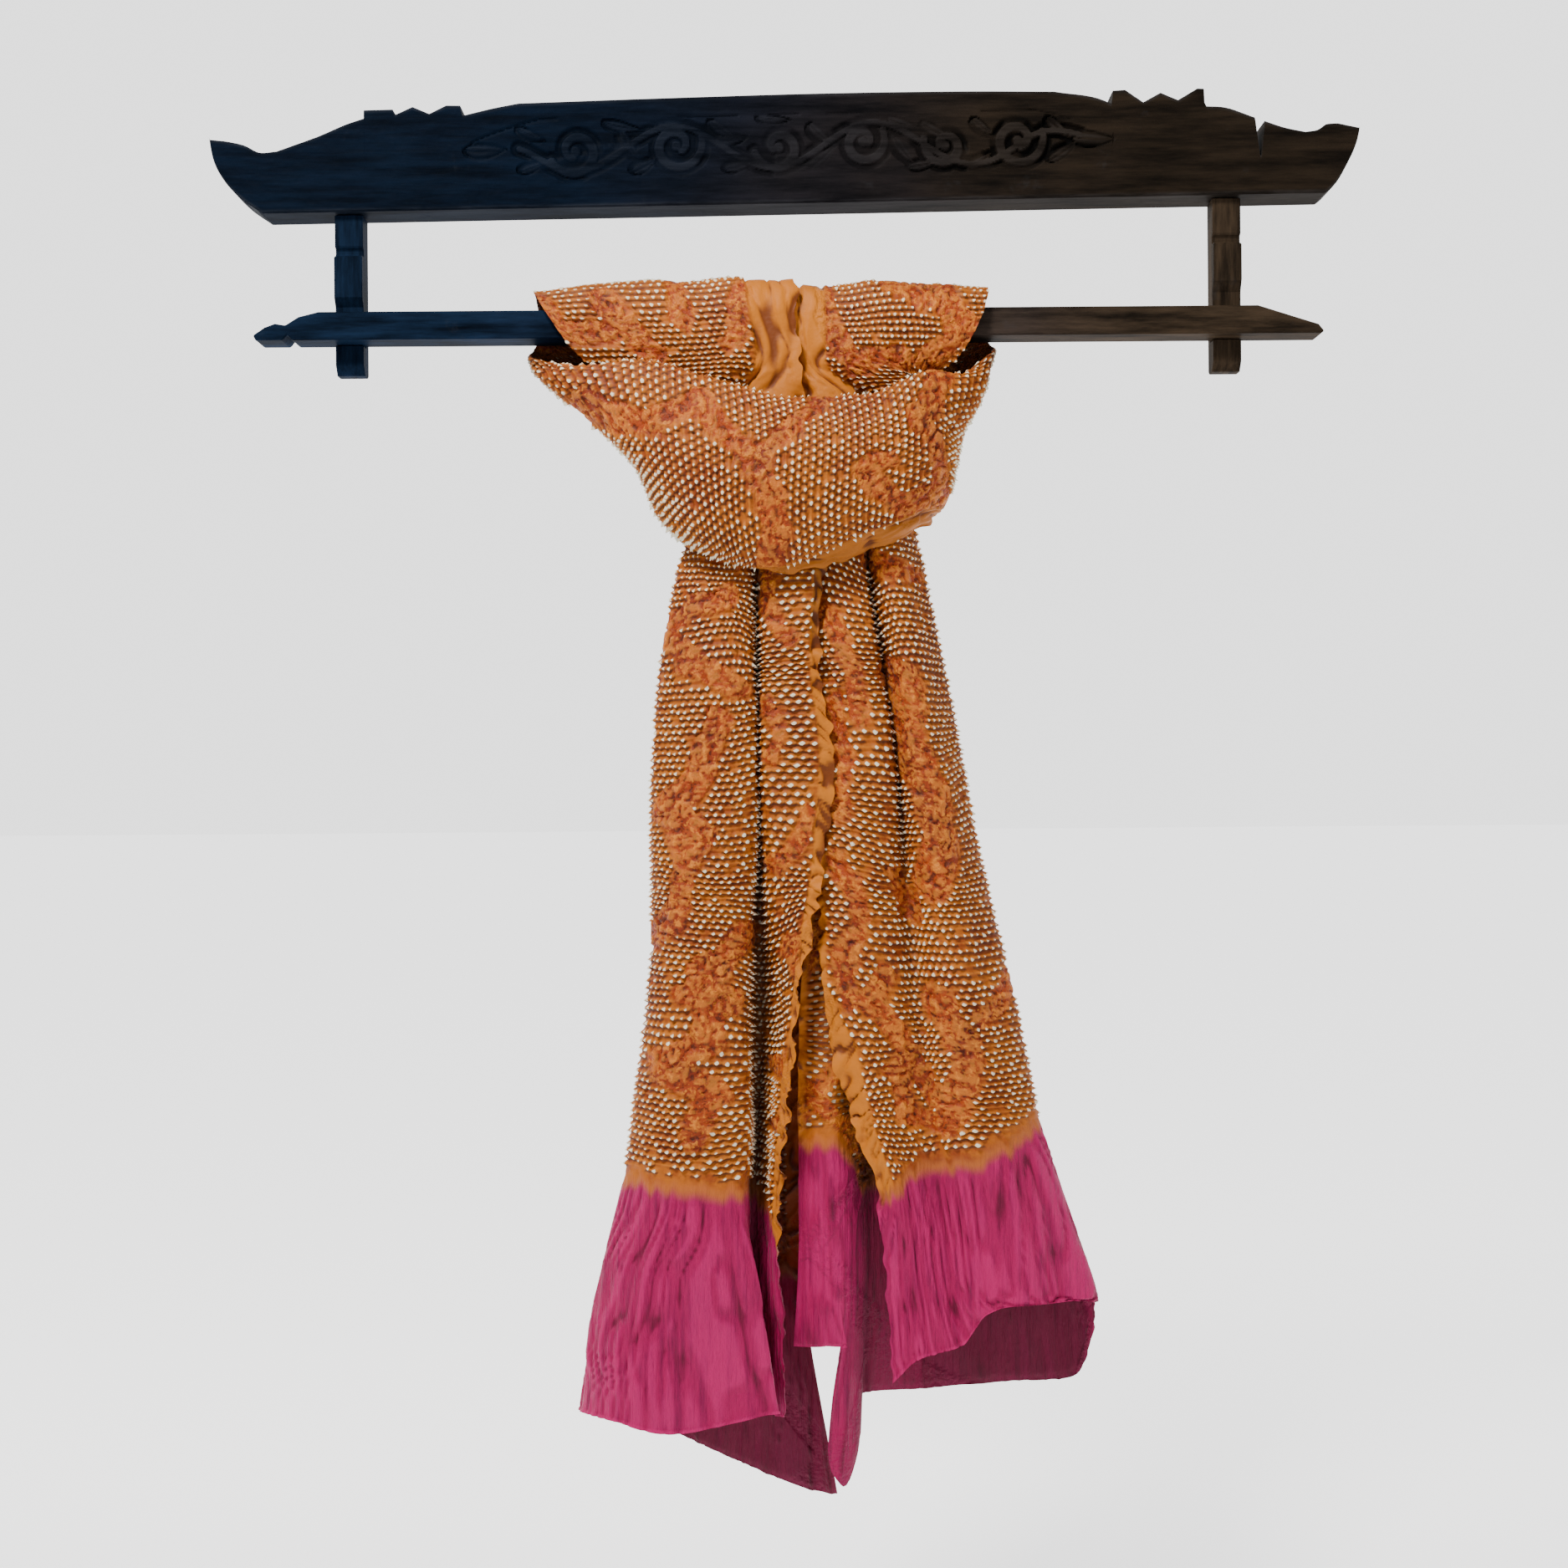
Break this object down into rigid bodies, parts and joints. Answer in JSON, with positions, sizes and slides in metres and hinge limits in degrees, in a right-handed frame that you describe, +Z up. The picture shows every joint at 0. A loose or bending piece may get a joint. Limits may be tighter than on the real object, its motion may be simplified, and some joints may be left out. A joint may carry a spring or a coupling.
{
  "type": "bandhani scarf on a carved wooden wall hanger",
  "caption": "Long puckered tie-dyed scarf with plain pink ends, hung in a cow hitch over the bar of a dark carved wooden wall hanger.",
  "frame": {"origin": "on the board's flat back, which lies on the wall, 4 mm left of its middle", "axes": "+Y from the front of the hanger into the wall, +Z up, +X to the right as seen from the front"},
  "size_m": [0.9001, 0.1112, 1.102],
  "materials": {
    "dyed_silk": "puckered, soft sheen",
    "carved_wood": "dark stained, worn satin",
    "post_wood": "dark stained, worn satin",
    "bar_wood": "dark stained, worn satin"
  },
  "bodies": {
    "root": {"scarf": "dyed_silk", "top_board": "carved_wood", "post_left": "post_wood", "post_right": "post_wood", "crossbar": "bar_wood"}
  },
  "joints": []
}
